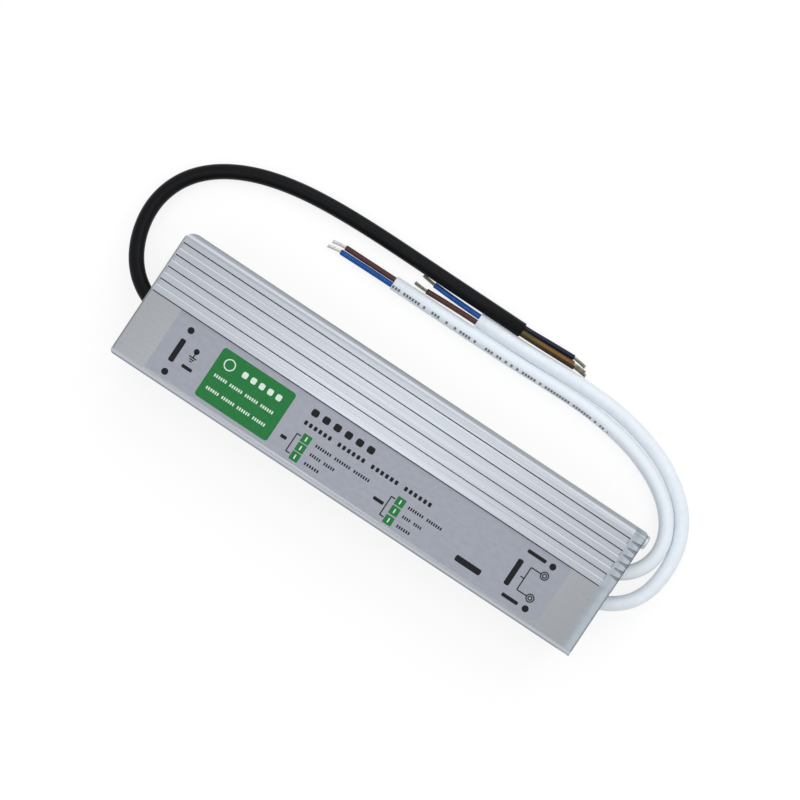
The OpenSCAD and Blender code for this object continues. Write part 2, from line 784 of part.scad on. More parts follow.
module gland_nut(y) {
    translate([nut_in, y, gland_z]) rotate([0, 90, 0]) difference() {
        rotate(30) cylinder(d = nut_af / cos(30), h = nut_t, $fn = 6);
        translate([0, 0, -over]) cylinder(d = gland_neck_d + gland_fit, h = nut_t + 2 * over);
    }
}

module gland_nuts() {
    color(steel_dark) {
        at_input() for (y = input_gland_ys) gland_nut(y);
        at_output() for (y = output_gland_ys) gland_nut(y);
    }
}

// Round tube swept along a path, with one ring of points at each path point
module swept_tube(path, d, sides, up = [0, 0, 1]) {
    n = len(path);
    function tangent(i) = unit(path[min(i + 1, n - 1)] - path[max(i - 1, 0)]);
    function ring(i) = let (t = tangent(i), across = unit(cross(t, up)), rise = cross(across, t))
        [for (k = [0:sides - 1]) path[i]
            + d / 2 * (cos(360 * k / sides) * across + sin(360 * k / sides) * rise)];
    points = [for (i = [0:n - 1]) each ring(i)];
    walls = [for (i = [0:n - 2], k = [0:sides - 1]) let (
        a = i * sides + k,
        b = i * sides + (k + 1) % sides
    ) each [[a, b, b + sides], [a, b + sides, a + sides]]];
    start_face = [[for (k = [0:sides - 1]) sides - 1 - k]];
    end_face = [[for (k = [0:sides - 1]) (n - 1) * sides + k]];
    polyhedron(points = points, faces = concat(start_face, walls, end_face));
}

module input_cable() {
    color(jacket_black) swept_tube(input_path, input_cable_d, cable_sides);
}

module output_cable_far() {
    color(jacket_white) swept_tube(far_path, output_cable_d, cable_sides);
}

module output_cable_near() {
    color(jacket_white) swept_tube(near_path, output_cable_d, cable_sides);
}

module input_live_core() {
    color(core_brown) swept_tube(input_live_path, core_d, core_sides);
}

module input_neutral_core() {
    color(core_blue) swept_tube(input_neutral_path, core_d, core_sides);
}

module input_earth_core() {
    color(core_earth) swept_tube(input_earth_path, core_d, core_sides);
}

module far_positive_core() {
    color(core_brown) swept_tube(far_positive_path, core_d, core_sides);
}

module far_negative_core() {
    color(core_blue) swept_tube(far_negative_path, core_d, core_sides);
}

module near_positive_core() {
    color(core_brown) swept_tube(near_positive_path, core_d, core_sides);
}

module near_negative_core() {
    color(core_blue) swept_tube(near_negative_path, core_d, core_sides);
}

module input_strand_tips() {
    color(strand_silver) {
        swept_tube(tip_path(input_neutral_path, neutral_splay), tip_d, core_sides);
        swept_tube(tip_path(input_earth_path, earth_splay), tip_d, core_sides);
        swept_tube(tip_path(input_live_path, live_splay), tip_d, core_sides);
    }
}

module far_strand_tips() {
    color(strand_silver) {
        swept_tube(tip_path(far_positive_path, far_splay), tip_d, core_sides);
        swept_tube(tip_path(far_negative_path, far_splay), tip_d, core_sides);
    }
}

module near_strand_tips() {
    color(strand_silver) {
        swept_tube(tip_path(near_positive_path, near_splay), tip_d, core_sides);
        swept_tube(tip_path(near_negative_path, near_splay), tip_d, core_sides);
    }
}

// Leads inside a cap, from a gland's inner end down to the board
module inner_leads(gland_ys, offsets) {
    pad_x = lead_pad_x + half_l;
    for (y = gland_ys, dy = offsets)
        swept_tube(
            [
                [gland_in, y + dy, gland_z],
                [gland_in + lead_run, y + dy, gland_z],
                [pad_x, y + dy, board_top + lead_drop],
                [pad_x, y + dy, board_top],
            ],
            lead_d, core_sides, up = [0, 1, 0]
        );
}

module input_inner_leads() {
    color(core_brown) at_input() inner_leads(input_gland_ys, input_lead_offsets);
}

module output_inner_leads() {
    color(core_blue) at_output() inner_leads(output_gland_ys, output_lead_offsets);
}

module circuit_board() {
    color(board_green) translate([board_x, -board_w / 2, board_z]) cube([board_l, board_w, board_t]);
}

// Glass fuse lying across the board, with a metal cap at each end
module fuse() {
    color(fuse_glass) translate([fuse_x, lane_y - fuse_l / 2, board_top + clip_t + clip_fit + fuse_d / 2])
        rotate([-90, 0, 0]) {
            cylinder(d = fuse_d - 2 * fuse_cap_t, h = fuse_l);
            for (z = [0, fuse_l - fuse_cap_l]) translate([0, 0, z]) cylinder(d = fuse_d, h = fuse_cap_l);
        }
}

// Spring clips, open at the top, that hold the fuse by its caps
module fuse_clips() {
    inner_d = fuse_d + 2 * clip_fit;
    outer_w = inner_d + 2 * clip_t;
    seat_z = clip_t + inner_d / 2;
    color(clip_brass) for (end = [-1, 1])
        translate([fuse_x, lane_y + end * (fuse_l - clip_l) / 2, board_top]) difference() {
            translate([-outer_w / 2, -clip_l / 2, 0]) cube([outer_w, clip_l, seat_z + inner_d / 4]);
            translate([0, -clip_l / 2 - over, seat_z]) rotate([-90, 0, 0])
                cylinder(d = inner_d, h = clip_l + 2 * over);
        }
}

// Disc part standing on two legs, its axis along X
module disc_part(d, t) {
    leg_spread = d / 4;
    translate([0, 0, board_top]) {
        translate([0, 0, disc_leg_h + d / 2]) rotate([0, 90, 0]) {
            rounded_disc(d, t / 2, disc_edge_r);
            mirror([0, 0, 1]) rounded_disc(d, t / 2, disc_edge_r);
        }
        for (y = [-leg_spread, leg_spread]) translate([0, y, 0])
            cylinder(d = leg_t, h = disc_leg_h + d / 4);
    }
}

module varistor() {
    color(varistor_blue) translate([fuse_x, far_lane_y, 0]) disc_part(varistor_d, varistor_t);
}

module thermistor() {
    color(thermistor_green) translate([film_x, far_lane_y, 0]) disc_part(thermistor_d, thermistor_t);
}

module y_capacitors() {
    pitch = y_cap_d + part_gap;
    color(y_cap_blue) for (side = [-0.5, 0.5])
        translate([bulk_x + side * pitch, near_lane_y, 0]) rotate(90) disc_part(y_cap_d, y_cap_t);
}

module x_capacitor() {
    color(film_box_yellow) translate([film_x, lane_y, board_top]) linear_extrude(height = x_cap_h) {
        square([x_cap_t - 2 * box_edge_r, x_cap_w], center = true);
        square([x_cap_t, x_cap_w - 2 * box_edge_r], center = true);
        for (x = [-1, 1], y = [-1, 1])
            translate([x * (x_cap_t / 2 - box_edge_r), y * (x_cap_w / 2 - box_edge_r)]) circle(box_edge_r);
    }
}

// Section of a flat ring core, drawn at its radius
module ring_section(d, h, grow) {
    translate([d / 2 - ring_w - grow, -grow]) square([ring_w + 2 * grow, h + 2 * grow]);
}

// Ferrite ring lying above the board by the thickness of its winding
module ring_core(d, h) {
    translate([0, 0, board_top + winding_t + core_fit]) rotate_extrude() ring_section(d, h, 0);
}

// Copper wound round a part of the ring, between two angles
module ring_winding(d, h, start, span) {
    translate([0, 0, board_top + winding_t + core_fit]) rotate(start) rotate_extrude(angle = span) difference() {
        ring_section(d, h, winding_t + core_fit);
        ring_section(d, h, core_fit);
    }
}

module choke_core() {
    color(ferrite_grey) translate([choke_x, lane_y, 0]) ring_core(choke_d, choke_h);
}

module choke_windings() {
    color(copper) translate([choke_x, lane_y, 0]) for (side = [0, 1]) mirror([side, 0, 0])
        ring_winding(choke_d, choke_h, -choke_span / 2, choke_span);
}

module inductor_core() {
    color(ferrite_grey) translate([inductor_x, lane_y, 0]) ring_core(inductor_d, inductor_h);
}

module inductor_winding() {
    color(copper) translate([inductor_x, lane_y, 0])
        ring_winding(inductor_d, inductor_h, -inductor_span / 2, inductor_span);
}

// Electrolytic capacitor: a can with a rolled groove above its foot
module can_capacitor(d, h) {
    translate([0, 0, board_top]) difference() {
        rounded_disc(d, h, can_edge_r);
        translate([0, 0, can_groove_z]) rotate_extrude() translate([d / 2, 0]) circle(can_groove_r);
    }
}

module bulk_capacitor() {
    color(can_sleeve) translate([bulk_x, lane_y, 0]) can_capacitor(bulk_d, bulk_h);
}

module output_capacitors() {
    color(can_sleeve) for (x = [-0.5, 0.5], y = [-0.5, 0.5])
        translate([output_cap_x + x * output_cap_pitch, lane_y + y * output_cap_pitch, 0])
            can_capacitor(output_cap_d, output_cap_h);
}

// Transformer core: two end yokes, two outer legs and a middle leg, seen from above
module transformer_core() {
    color(ferrite_grey) translate([transformer_x, lane_y, transformer_z - core_h / 2])
        linear_extrude(height = core_h) difference() {
            square([core_l, core_w], center = true);
            for (side = [0, 1]) mirror([0, side])
                translate([-window_l / 2, window_y]) square([window_l, window_w]);
        }
}

// Bobbin: a square tube over the middle leg between two flanges that stand on the board
module transformer_bobbin() {
    color(bobbin_black) translate([transformer_x, lane_y, transformer_z]) difference() {
        union() {
            cube([bobbin_l, bobbin_tube_w, bobbin_tube_h], center = true);
            for (end = [-1, 1]) translate([end * (bobbin_l - bobbin_t) / 2, 0, 0])
                cube([bobbin_t, bobbin_flange_w, bobbin_h], center = true);
        }
        cube([bobbin_l + 2 * over, leg_w + 2 * core_fit, core_h + 2 * core_fit], center = true);
    }
}

// Winding, taped, round the bobbin's tube
module transformer_winding() {
    wound_l = bobbin_l - 2 * bobbin_t;
    wound_w = bobbin_flange_w - 2 * core_fit;
    wound_h = bobbin_h - 2 * bobbin_t;
    color(tape_yellow) translate([transformer_x, lane_y, transformer_z]) difference() {
        cube([wound_l, wound_w, wound_h], center = true);
        cube([wound_l + over, bobbin_tube_w, bobbin_tube_h], center = true);
    }
}

// Power device standing against the spreader: plastic body, metal tab with a hole, three legs
module power_device() {
    translate([0, spreader_y, board_top]) difference() {
        union() {
            translate([-device_w / 2, -device_t, leg_h]) cube([device_w, device_t, device_h]);
            translate([-device_w / 2, -tab_t, leg_h]) cube([device_w, tab_t, tab_h]);
            for (k = [-1:1]) translate([k * device_leg_pitch - leg_t / 2, -device_t / 2 - leg_t / 2, 0])
                cube([leg_t, leg_t, leg_h + over]);
        }
        translate([0, over, device_hole_z - board_top]) rotate([90, 0, 0])
            cylinder(d = screw_d + hole_fit, h = tab_t + 2 * over);
    }
}

module bridge_rectifier() {
    color(resin_black) translate([device_x(0), spreader_y, board_top]) difference() {
        union() {
            translate([-bridge_w / 2, -bridge_t, leg_h]) cube([bridge_w, bridge_t, bridge_h]);
            for (k = [-1.5:1.5]) translate([k * bridge_leg_pitch - leg_t / 2, -bridge_t / 2 - leg_t / 2, 0])
                cube([leg_t, leg_t, leg_h + over]);
        }
        translate([0, over, bridge_hole_z - board_top]) rotate([90, 0, 0])
            cylinder(d = screw_d + hole_fit, h = bridge_t + 2 * over);
    }
}

module switching_transistors() {
    color(resin_black) for (i = [1, 2]) translate([device_x(i), 0, 0]) power_device();
}

module output_rectifiers() {
    color(resin_black) for (i = [3, 4]) translate([device_x(i), 0, 0]) power_device();
}

module heat_spreader() {
    color(bar_silver) difference() {
        translate([spreader_x, spreader_y, board_top]) cube([spreader_l, spreader_t, spreader_h]);
        for (i = [0:device_n - 1]) translate([device_x(i), spreader_y - over, hole_z(i)]) rotate([-90, 0, 0])
            cylinder(d = screw_d + thread_fit, h = spreader_t + 2 * over);
    }
}

// Soft pad between the spreader and the housing's far wall
module thermal_pad() {
    pad_z = upper_lip_z + lip_t + pad_fit;
    color(pad_blue) translate([spreader_x, spreader_y + spreader_t, pad_z])
        cube([spreader_l, pad_t, board_top + spreader_h - pad_z]);
}

module device_screws() {
    color(steel_dark) for (i = [0:device_n - 1])
        translate([device_x(i), spreader_y - clamp_t(i), hole_z(i)]) rotate([90, 0, 0])
            pan_screw(clamp_t(i) + spreader_t - thread_fit);
}

// Surface-mounted parts on the underside of the board
module control_chip() {
    color(resin_black) translate([transformer_x - chip_l / 2, lane_y - chip_w / 2, board_z - chip_h])
        cube([chip_l, chip_w, chip_h]);
}

module optocouplers() {
    color(resin_black) for (side = [-1, 1])
        translate([inductor_x - coupler_l / 2, lane_y + side * chip_w - chip_w / 2, board_z - chip_h])
            cube([coupler_l, chip_w, chip_h]);
}

housing();
input_end_cap();
output_end_cap();
input_gasket();
output_gasket();
input_cap_screws();
output_cap_screws();
label_film();
input_gland();
output_gland_far();
output_gland_near();
gland_nuts();
input_cable();
output_cable_far();
output_cable_near();
input_live_core();
input_neutral_core();
input_earth_core();
far_positive_core();
far_negative_core();
near_positive_core();
near_negative_core();
input_strand_tips();
far_strand_tips();
near_strand_tips();
input_inner_leads();
output_inner_leads();
circuit_board();
fuse();
fuse_clips();
varistor();
thermistor();
x_capacitor();
y_capacitors();
choke_core();
choke_windings();
bulk_capacitor();
transformer_core();
transformer_bobbin();
transformer_winding();
inductor_core();
inductor_winding();
output_capacitors();
bridge_rectifier();
switching_transistors();
output_rectifiers();
heat_spreader();
thermal_pad();
device_screws();
control_chip();
optocouplers();
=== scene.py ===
import math

import bpy
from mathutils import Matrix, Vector


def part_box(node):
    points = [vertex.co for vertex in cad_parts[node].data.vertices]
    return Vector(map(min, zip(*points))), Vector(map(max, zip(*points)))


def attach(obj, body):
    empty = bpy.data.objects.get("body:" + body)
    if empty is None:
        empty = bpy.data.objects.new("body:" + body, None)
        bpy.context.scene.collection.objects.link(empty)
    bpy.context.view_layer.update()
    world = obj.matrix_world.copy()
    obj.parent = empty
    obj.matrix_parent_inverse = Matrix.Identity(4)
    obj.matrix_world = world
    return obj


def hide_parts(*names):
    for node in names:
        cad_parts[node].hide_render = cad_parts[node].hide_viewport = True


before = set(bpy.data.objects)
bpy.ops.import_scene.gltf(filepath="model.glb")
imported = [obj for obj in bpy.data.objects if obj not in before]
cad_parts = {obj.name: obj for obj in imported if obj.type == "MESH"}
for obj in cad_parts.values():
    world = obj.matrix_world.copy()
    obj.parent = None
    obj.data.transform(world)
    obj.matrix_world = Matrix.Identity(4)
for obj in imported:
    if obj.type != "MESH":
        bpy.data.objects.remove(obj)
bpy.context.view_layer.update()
mm = 0.001

# Circuit board
# A pressed glass and epoxy laminate under green solder mask, slid into the housing's slots.
# The small resin parts under it are moulded black epoxy.


def linear(colour):
    """Turns an sRGB hex colour into linear RGBA."""
    channels = [int(colour[i:i + 2], 16) / 255 for i in (1, 3, 5)]
    return [c / 12.92 if c <= 0.04045 else ((c + 0.055) / 1.055) ** 2.4 for c in channels] + [1.0]


def add(tree, kind, inputs, **settings):
    """Adds a shader node, with its settings, and sets or links each input."""
    made = tree.nodes.new("ShaderNode" + kind)
    for name, value in settings.items():
        setattr(made, name, value)
    for name, value in inputs.items():
        if isinstance(value, bpy.types.NodeSocket):
            tree.links.new(value, made.inputs[name])
        else:
            made.inputs[name].default_value = value
    return made


def blank(name):
    """A new material with an empty node tree."""
    material = bpy.data.materials.new(name)
    material.use_nodes = True
    material.node_tree.nodes.clear()
    return material


# Most of a noise pattern's values lie between these two.
noise_span = {"From Min": 0.3, "From Max": 0.7}
# The colour mixing node's sockets go by number: its factor, its two colours and its result.
mix_by, mix_from, mix_to, mix_out = 0, 6, 7, 2


def grained(name, colours, grain, roughness, rise=0.0, **constant):
    """A finish that wanders between two close colours, in grains whose sizes along X, Y and Z are in mm.
    Roughness swings with the grain, and the grain stands up by a rise in mm."""
    swing = 0.05
    material = blank(name)
    tree = material.node_tree
    where = add(tree, "TexCoord", {})
    scaled = add(tree, "Mapping", {"Vector": where.outputs["Object"], "Scale": [1 / (g * mm) for g in grain]})
    noise = add(tree, "TexNoise", {"Vector": scaled.outputs["Vector"], "Scale": 1.0, "Detail": 4.0})
    spread = add(tree, "MapRange", {"Value": noise.outputs[0], **noise_span}).outputs[0]
    shades = {mix_by: spread, mix_from: linear(colours[0]), mix_to: linear(colours[1])}
    tint = add(tree, "Mix", shades, data_type="RGBA").outputs[mix_out]
    rough = add(tree, "MapRange", {"Value": spread, "To Min": roughness + swing, "To Max": roughness - swing})
    relief = add(tree, "Bump", {"Height": noise.outputs[0], "Distance": rise * mm, "Strength": 1.0})
    surface = {"Base Color": tint, "Roughness": rough.outputs[0], "Normal": relief.outputs[0]}
    shader = add(tree, "BsdfPrincipled", {**surface, **constant})
    add(tree, "OutputMaterial", {"Surface": shader.outputs[0]})
    return material


def coat(material, *names):
    """Gives CAD nodes a finish in place of the one they were packed with."""
    for name in names:
        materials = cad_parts[name].data.materials
        materials.clear()
        materials.append(material)


# Solder mask: a thin green lacquer over copper tracks, glossy with a faint mottle of the weave under it.
solder_mask = grained("solder_mask_on_laminate", ("#1d6b36", "#2a7d45"), (1.2, 1.2, 1.2), 0.35, 0.01)
coat(solder_mask, "circuit_board")

# Moulded epoxy resin: near black and finely pitted by the mould.
moulded_resin = grained("moulded_epoxy_resin", ("#1c1c1e", "#2a2a2c"), (0.4, 0.4, 0.4), 0.55, 0.02)
coat(moulded_resin, "control_chip", "optocouplers", "bridge_rectifier")

# Input protection and filter
# A glass fuse in stamped brass clips, dipped disc parts, a moulded film capacitor and a choke on a
# ferrite ring wound with enamelled copper. All are soldered to the board.

# Fuse glass: a clear tube that shows as pale grey, smooth and glossy.
fuse_glass = grained("fuse_glass_tube", ("#cfd6d9", "#dde3e6"), (2.0, 2.0, 2.0), 0.12)
coat(fuse_glass, "fuse")

# Stamped brass: yellow metal with faint rolling lines along the strip.
stamped_brass = grained("stamped_brass", ("#c2a257", "#d8bc74"), (4.0, 0.3, 0.3), 0.32, 0.01, Metallic=1.0)
coat(stamped_brass, "fuse_clips")

# Dipped epoxy: a blue coat with the gentle unevenness that dipping leaves.
dipped_epoxy = grained("dipped_epoxy", ("#345593", "#4066a8"), (1.5, 1.5, 1.5), 0.3, 0.05)
coat(dipped_epoxy, "varistor", "thermistor", "y_capacitors")

# Film capacitor box: yellow moulded polyester with slight sink and mould grain.
film_box = grained("moulded_polyester_box", ("#c8b355", "#d4c068"), (0.8, 0.8, 0.8), 0.38, 0.02)
coat(film_box, "x_capacitor")

# Sintered ferrite: dark grey ceramic with a matt, sandy grain.
ferrite = grained("sintered_ferrite", ("#37373a", "#46464a"), (0.5, 0.5, 0.5), 0.6, 0.03)
coat(ferrite, "choke_core", "inductor_core", "transformer_core")

# Enamelled copper wire: orange metal, its turns drawn as fine stripes across the coil.
enamelled_wire = grained(
    "enamelled_copper_wire", ("#a9622a", "#d98f4c"), (0.9, 0.9, 6.0), 0.28, 0.1, Metallic=1.0
)
coat(enamelled_wire, "choke_windings", "inductor_winding")

# Switching stage and transformer
# A bulk capacitor in a shrunk sleeve, resin packages screwed to an aluminium bar, and a transformer of
# two ferrite halves on a moulded bobbin, its winding bound in polyester tape.

# Shrunk sleeve: black film drawn tight over an aluminium can.
shrunk_sleeve = grained("shrunk_sleeve", ("#20232b", "#2c303a"), (1.6, 1.6, 5.0), 0.3, 0.02)
coat(shrunk_sleeve, "bulk_capacitor", "output_capacitors")
coat(moulded_resin, "switching_transistors", "output_rectifiers")

# Bobbin: glass-filled plastic with a matt moulded skin.
bobbin_plastic = grained("glass_filled_bobbin", ("#2b2b2d", "#363638"), (0.6, 0.6, 0.6), 0.5, 0.02)
coat(bobbin_plastic, "transformer_bobbin")

# Winding tape: thin yellow polyester with the turns showing through as soft bands.
winding_tape = grained("polyester_winding_tape", ("#c79a2e", "#dcb34a"), (8.0, 8.0, 1.2), 0.35, 0.04)
coat(winding_tape, "transformer_winding")

# Heat path
# A sawn aluminium bar carries the devices' heat to the housing's wall through a soft silicone pad.

# Sawn bar: bright aluminium with saw lines along its length.
sawn_bar = grained("sawn_aluminium_bar", ("#bfc2c6", "#d2d5d9"), (12.0, 0.4, 0.4), 0.4, 0.02, Metallic=1.0)
coat(sawn_bar, "heat_spreader")

# Filled silicone: a blue-grey gum sheet, dead matt.
silicone_pad = grained("filled_silicone", ("#8b9eb0", "#9cadbd"), (0.7, 0.7, 0.7), 0.75, 0.02)
coat(silicone_pad, "thermal_pad")

# Housing
# One aluminium extrusion, ribbed along one half of its top and flat for the label along the other, with
# grooves on the sides. It is sawn to length, brushed along its length and clear anodised.


def inside(tree, place, low, high, fade):
    """A factor that is 1 inside a box whose corners are in mm and fades to 0 at its sides."""
    past = add(tree, "VectorMath", {0: place, 1: [v * mm for v in low]}, operation="SUBTRACT")
    short = add(tree, "VectorMath", {0: [v * mm for v in high], 1: place}, operation="SUBTRACT")
    least = add(tree, "VectorMath", {0: past.outputs[0], 1: short.outputs[0]}, operation="MINIMUM")
    axes = add(tree, "SeparateXYZ", {"Vector": least.outputs[0]})
    flat = add(tree, "Math", {0: axes.outputs["X"], 1: axes.outputs["Y"]}, operation="MINIMUM")
    depth = add(tree, "Math", {0: flat.outputs[0], 1: axes.outputs["Z"]}, operation="MINIMUM")
    return add(tree, "MapRange", {"Value": depth.outputs[0], "From Max": fade * mm}).outputs[0]


def metal(name, colours, grain, roughness, rise, zones, painted_highlights):
    """A bare metal that wanders between two close colours in grains sized in mm and is tinted in zones.
    A zone has a tint, the two corners of a box in mm, and the width in mm over which it fades. Painted
    highlights are given in the same way and take their colour as it is."""
    swing = 0.04
    material = blank(name)
    tree = material.node_tree
    place = add(tree, "TexCoord", {}).outputs["Object"]
    scaled = add(tree, "Mapping", {"Vector": place, "Scale": [1 / (g * mm) for g in grain]})
    noise = add(tree, "TexNoise", {"Vector": scaled.outputs["Vector"], "Scale": 1.0, "Detail": 2.0})
    spread = add(tree, "MapRange", {"Value": noise.outputs[0], **noise_span}).outputs[0]
    shades = {mix_by: spread, mix_from: linear(colours[0]), mix_to: linear(colours[1])}
    tint = add(tree, "Mix", shades, data_type="RGBA").outputs[mix_out]
    for colour, low, high, fade in zones:
        amount = inside(tree, place, low, high, fade)
        darkened = {mix_by: amount, mix_from: tint, mix_to: linear(colour)}
        tint = add(tree, "Mix", darkened, data_type="RGBA", blend_type="MULTIPLY").outputs[mix_out]
    # Painted highlights replace the colour inside their boxes.
    for colour, low, high, fade in painted_highlights:
        amount = inside(tree, place, low, high, fade)
        brightened = {mix_by: amount, mix_from: tint, mix_to: linear(colour)}
        tint = add(tree, "Mix", brightened, data_type="RGBA").outputs[mix_out]
    rough = add(tree, "MapRange", {"Value": spread, "To Min": roughness + swing, "To Max": roughness - swing})
    relief = add(tree, "Bump", {"Height": noise.outputs[0], "Distance": rise * mm, "Strength": 1.0})
    surface = {"Base Color": tint, "Roughness": rough.outputs[0], "Normal": relief.outputs[0]}
    shader = add(tree, "BsdfPrincipled", {**surface, "Metallic": 1.0})
    add(tree, "OutputMaterial", {"Surface": shader.outputs[0]})
    return material


# Brushed anodised aluminium: pale, faintly violet metal with a wide soft gloss. The brush lines run
# along X; real ones are about 0.1 mm apart and are drawn at 0.4 mm, so that they show. Painted shade
# darkens the narrow reliefs at the ribs' feet, the near side and the sawn end; the label panel is
# etched duller, and a painted highlight lightens the rounded near edge.
# Painted highlight along the rounded near edge, shared with the cast cap.
painted_edge_highlight = [("#bfc5cd", (-104, -26.8, 34.0), (102, -24.75, 38), 1)]
brushed_aluminium = metal(
    "brushed_anodised_aluminium", ("#9da1a8", "#a4a8af"), (90.0, 0.4, 0.4), 0.3, 0.0004,
    [
        # Painted shade in the narrow reliefs at the ribs' feet.
        ("#404448", (-101, 0.4, 35.2), (97, 22.2, 35.95), 0.2),
        ("#e6e4e1", (-103, -28, 35.7), (103, 0.9, 36.3), 0.12),
        # Painted shade on the near side, where the faces turn away from the light.
        ("#bcbfc4", (-103, -28, -1), (103, -26.1, 36), 0.4),
        # Painted shade on the input end face.
        ("#dcdcdc", (-103, -28, -1), (-100.9, 28, 38), 0.4),
    ],
    painted_edge_highlight,
)
coat(brushed_aluminium, "housing")

# End caps
# Aluminium castings that close the ends over sheet rubber gaskets. The input cap is brushed with the
# housing, and the output cap keeps its fine cast skin and a fluted edge.
coat(brushed_aluminium, "input_end_cap")

# Cast aluminium: a little bluer and darker than the extrusion, and smooth. Painted shade darkens the
# flutes and the outer end face, the far top corner is a little darker, and the near edge carries the
# same painted highlight.
cast_aluminium = metal(
    "cast_aluminium", ("#9ba3ab", "#a4abb2"), (3.0, 3.0, 3.0), 0.32, 0.002,
    [
        # Painted shade in the flutes.
        ("#c4c9ce", (97, 5, 36), (103, 24, 36.95), 0.6),
        ("#dcdcdc", (94, -28, 30), (99.5, 28, 38), 2.5),
        # Painted shade on the outer end face.
        ("#b0b0b0", (100.9, -28, -1), (103, 28, 38), 0.4),
        ("#ccd1d3", (95, 23.5, 35.9), (103, 28, 38), 1),
    ],
    painted_edge_highlight,
)
coat(cast_aluminium, "output_end_cap")

# Sheet rubber: dark and matt, with a fine calendered grain.
gasket_rubber = grained("sheet_rubber", ("#232325", "#2e2e30"), (0.5, 0.5, 0.5), 0.7, 0.02)
coat(gasket_rubber, "input_gasket", "output_gasket")

# Screws and gland nuts
# Pressed pan-head steel screws and turned steel nuts, zinc plated.

# Zinc plate: cool bright grey metal, slightly cloudy.
zinc_plate = grained("zinc_plated_steel", ("#a4a9ae", "#c3c8cc"), (0.8, 0.8, 0.8), 0.3, 0.01, Metallic=1.0)
coat(zinc_plate, "input_cap_screws", "output_cap_screws", "gland_nuts", "device_screws")

# Glands
# Moulded rubber sleeves that seal each lead where it passes its cap, black on the mains lead and white
# on the output leads.

# Moulded rubber: matt, with the fine skin of the mould.
black_rubber = grained("moulded_black_rubber", ("#1a1b1e", "#25262a"), (0.6, 0.6, 0.6), 0.6, 0.02)
coat(black_rubber, "input_gland")
white_rubber = grained("moulded_white_rubber", ("#dfe1e8", "#e9ebf1"), (0.6, 0.6, 0.6), 0.55, 0.02)
coat(white_rubber, "output_gland_far", "output_gland_near")

# Mains lead
# A round three-core lead in an extruded black PVC jacket. It leaves the input cap's recess, bends round
# the far corner and lies along the far side, its cores bared and their strands stripped.


def smooth(points, pieces=6):
    """A cubic spline that starts and ends at the first and last of its control points. They are in mm, and
    the points on the curve are in metres."""
    places = [Vector(p) * mm for p in points]
    places = [2 * places[0] - places[1]] + places + [2 * places[-1] - places[-2]]
    curve = []
    for a, b, c, d in zip(places, places[1:], places[2:], places[3:]):
        for i in range(pieces):
            t = i / pieces
            middle = (4 - 6 * t ** 2 + 3 * t ** 3) * b + (1 + 3 * t + 3 * t ** 2 - 3 * t ** 3) * c
            curve.append(((1 - t) ** 3 * a + middle + t ** 3 * d) / 6)
    return curve + [places[-2]]


def led_out(side, aside, steps, gland_x=92.5, gland_z=15.0):
    """The path of a lead that leaves a gland at one end of the driver, aside from the middle: straight at
    first, a smooth bend, and straight at the cut end. Steps in mm run out from the gland's face and across
    from its axis, at heights of their own."""
    points = [(side * (gland_x + out), aside + across, height) for out, across, height in steps]
    start = Vector((side * gland_x, aside, gland_z)) * mm
    return [start] + smooth(points[:-1]) + [Vector(points[-1]) * mm]


def tube(name, path, diameter, sides=24):
    """A round tube along a path, cut square at both ends with the edge just broken. Its UV map holds the
    distance along it in metres and the way round it from 0 to 1, with the top of a level run at 0.25."""
    radius = diameter / 2 * mm
    lip = 0.06 * radius
    ahead = [(b - a).normalized() for a, b in zip(path[:-1], path[1:])]
    ahead = [ahead[0]] + [(a + b).normalized() for a, b in zip(ahead[:-1], ahead[1:])] + [ahead[-1]]
    rings = [(path[0], ahead[0], radius - lip)]
    rings += [(path[0] + ahead[0] * lip, ahead[0], radius)]
    rings += [(p, a, radius) for p, a in zip(path[1:-1], ahead[1:-1])]
    rings += [(path[-1] - ahead[-1] * lip, ahead[-1], radius), (path[-1], ahead[-1], radius - lip)]
    corners = []
    run = [0.0]
    for (p, _, _), (q, _, _) in zip(rings, rings[1:]):
        run.append(run[-1] + (q - p).length)
    for place, forward, reach in rings:
        side = forward.cross(Vector((0, 0, 1))).normalized()
        top = side.cross(forward)
        for s in range(sides):
            angle = 2 * math.pi * s / sides
            corners.append(place + reach * (math.cos(angle) * side + math.sin(angle) * top))
    faces = []
    wraps = []
    for r in range(len(rings) - 1):
        for s in range(sides):
            t = (s + 1) % sides
            faces.append((r * sides + s, r * sides + t, (r + 1) * sides + t, (r + 1) * sides + s))
            wraps += [(run[r], s / sides), (run[r], (s + 1) / sides)]
            wraps += [(run[r + 1], (s + 1) / sides), (run[r + 1], s / sides)]
    faces.append(tuple(reversed(range(sides))))
    faces.append(tuple(range((len(rings) - 1) * sides, len(rings) * sides)))
    wraps += [(run[0], 0.5)] * sides + [(run[-1], 0.5)] * sides
    mesh = bpy.data.meshes.new(name)
    mesh.from_pydata(corners, [], faces)
    layer = mesh.uv_layers.new(name="lengthwise")
    for corner, wrap in zip(layer.data, wraps):
        corner.uv = wrap
    piece = bpy.data.objects.new(name, mesh)
    bpy.context.collection.objects.link(piece)
    bpy.ops.object.select_all(action="DESELECT")
    piece.select_set(True)
    bpy.context.view_layer.objects.active = piece
    bpy.ops.object.shade_smooth_by_angle(angle=math.radians(50))
    return piece


def dress(piece, material, slot, *nodes):
    """Finishes a piece, fixes it to the driver and lets it stand for its CAD nodes."""
    piece.data.materials.append(material)
    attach(piece, "root")
    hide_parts(*nodes)
    return piece


def bared(end, forward, steps):
    """The route of a core that leaves a jacket's end: steps ahead and aside from it, at heights of
    their own."""
    return smooth([(end[0] + forward * ahead, end[1] + aside, height) for ahead, aside, height in steps])


